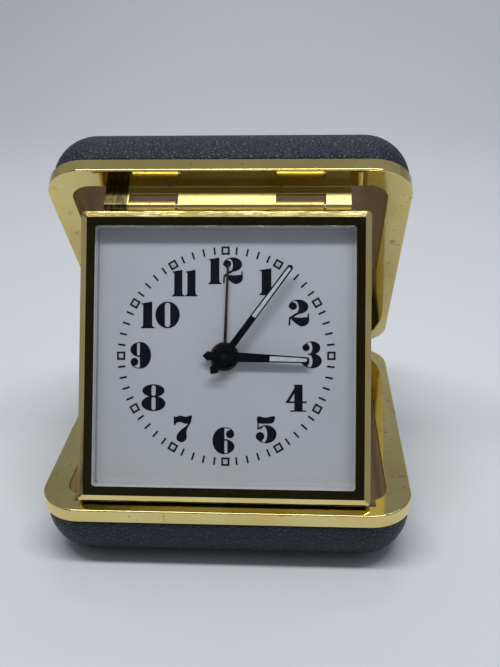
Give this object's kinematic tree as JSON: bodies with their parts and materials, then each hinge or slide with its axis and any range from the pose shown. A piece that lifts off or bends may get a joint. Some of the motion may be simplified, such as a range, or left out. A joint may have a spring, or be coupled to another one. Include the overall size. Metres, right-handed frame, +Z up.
{
  "type": "folding travel alarm clock",
  "caption": "Folding travel alarm clock: square gilt clock hinged in a leatherette clamshell case with gilt rims, standing open on its base shell.",
  "frame": {"origin": "centre of the base shell's flat underside, on the table", "axes": "+Z up, -Y the way the dial faces, +X to the right seen from the front"},
  "size_m": [0.0724, 0.0796, 0.0764],
  "materials": {
    "leatherette": "fine pebble grain",
    "gilt": "polished, lightly tarnished",
    "lining": "short flock",
    "pan": "sheet",
    "crystal": "clear",
    "dial": "matt white",
    "spacer": "matt white",
    "hands": "gloss black",
    "luminous": "pale luminous paint",
    "brass": "plain",
    "steel": "plain"
  },
  "bodies": {
    "base": {"base_cover": "leatherette", "base_pan": "pan", "base_rim": "gilt", "base_lining": "lining", "clock_rest": "gilt", "case_hinge_base_leaf": "gilt", "case_hinge_pin": "steel"},
    "lid": {"lid_cover": "leatherette", "lid_pan": "pan", "lid_rim": "gilt", "lid_lining": "lining", "case_hinge_lid_leaf": "gilt", "clock_hinge_strip": "gilt", "clock_hinge_rivets": "gilt", "clock_hinge_pin": "steel"},
    "clock": {"clock_hinge_tongues": "gilt", "bezel": "gilt", "crystal": "crystal", "dial_spacer": "spacer", "dial": "dial", "back_cover": "gilt", "back_cover_screws": "steel", "front_plate": "brass", "rear_plate": "brass", "plate_pillars": "brass", "time_barrel": "brass", "alarm_barrel": "brass", "time_mainspring": "steel", "alarm_mainspring": "steel", "winding_clicks": "steel", "centre_wheel": "brass", "third_wheel": "brass", "fourth_wheel": "brass", "escape_wheel": "brass", "pallet_lever": "steel", "hairspring": "steel", "strike_wheel": "brass"},
    "minute_work": {"minute_hand": "hands", "minute_hand_filling": "luminous", "centre_arbor": "brass", "time_set_knob": "gilt"},
    "hour_work": {"hour_hand": "hands", "hour_hand_filling": "luminous", "hour_wheel": "brass"},
    "minute_wheel": {"minute_wheel": "brass"},
    "alarm_dial_work": {"alarm_hand": "brass", "alarm_wheel": "brass"},
    "alarm_setting": {"alarm_set_arbor": "steel", "alarm_set_knob": "gilt"},
    "time_winding": {"time_arbor": "steel", "time_key": "gilt"},
    "alarm_winding": {"alarm_arbor": "steel", "alarm_key": "gilt"},
    "stop_button": {"alarm_stop_button": "gilt"},
    "regulator": {"regulator_lever": "steel"},
    "balance": {"balance_wheel": "brass"},
    "hammer": {"alarm_hammer": "steel"}
  },
  "joints": [
    {"name": "lid_opening", "type": "hinge", "parent": "base", "child": "lid", "pos_m": [0, 0.0374, 0.0136], "axis": [-1, 0, 0], "range_deg": [0, 65]},
    {"name": "clock_fold", "type": "hinge", "parent": "lid", "child": "clock", "pos_m": [0, -0.00678, 0.06466], "axis": [1, 0, 0], "range_deg": [0, 64.08]},
    {"name": "minute_hand_turn", "type": "hinge", "parent": "clock", "child": "minute_work", "pos_m": [-0.0002, -0.01889, 0.03807], "axis": [0, -0.8937, 0.4486], "continuous": true},
    {"name": "hour_hand_turn", "type": "hinge", "parent": "clock", "child": "hour_work", "pos_m": [-0.0002, -0.01889, 0.03807], "axis": [0, -0.8937, 0.4486], "continuous": true},
    {"name": "minute_wheel_turn", "type": "hinge", "parent": "clock", "child": "minute_wheel", "pos_m": [0.0028, -0.01935, 0.03248], "axis": [0, -0.8937, 0.4486], "continuous": true},
    {"name": "alarm_hand_turn", "type": "hinge", "parent": "clock", "child": "alarm_dial_work", "pos_m": [-0.0002, -0.01889, 0.03807], "axis": [0, -0.8937, 0.4486], "continuous": true},
    {"name": "alarm_knob_turn", "type": "hinge", "parent": "clock", "child": "alarm_setting", "pos_m": [-0.00851, -0.00888, 0.03841], "axis": [0, -0.8937, 0.4486], "continuous": true},
    {"name": "time_key_turn", "type": "hinge", "parent": "clock", "child": "time_winding", "pos_m": [-0.00939, -0.01449, 0.02723], "axis": [0, -0.8937, 0.4486], "continuous": true},
    {"name": "alarm_key_turn", "type": "hinge", "parent": "clock", "child": "alarm_winding", "pos_m": [0.0113, -0.01485, 0.02652], "axis": [0, -0.8937, 0.4486], "continuous": true},
    {"name": "stop_button_push", "type": "slide", "parent": "clock", "child": "stop_button", "axis": [0, -0.8937, 0.4486], "range_m": [0, 0.001], "stiffness_N_per_m": 120},
    {"name": "regulator_turn", "type": "hinge", "parent": "clock", "child": "regulator", "pos_m": [0.00711, -0.00444, 0.0497], "axis": [0, -0.8937, 0.4486], "range_deg": [-18, 18]},
    {"name": "balance_swing", "type": "hinge", "parent": "clock", "child": "balance", "pos_m": [0.00711, -0.00587, 0.05042], "axis": [0, -0.8937, 0.4486], "range_deg": [-135, 135], "stiffness_Nm_per_rad": 0.00002},
    {"name": "hammer_swing", "type": "hinge", "parent": "clock", "child": "hammer", "pos_m": [0.01881, -0.01145, 0.03885], "axis": [0, -0.8937, 0.4486], "range_deg": [-4, 4]}
  ],
  "couplings": [
    {"joint": "hour_hand_turn", "follows": "minute_hand_turn", "ratio": 0.083333},
    {"joint": "minute_wheel_turn", "follows": "minute_hand_turn", "ratio": -0.33333},
    {"joint": "alarm_knob_turn", "follows": "alarm_hand_turn", "ratio": -3.5714}
  ]
}
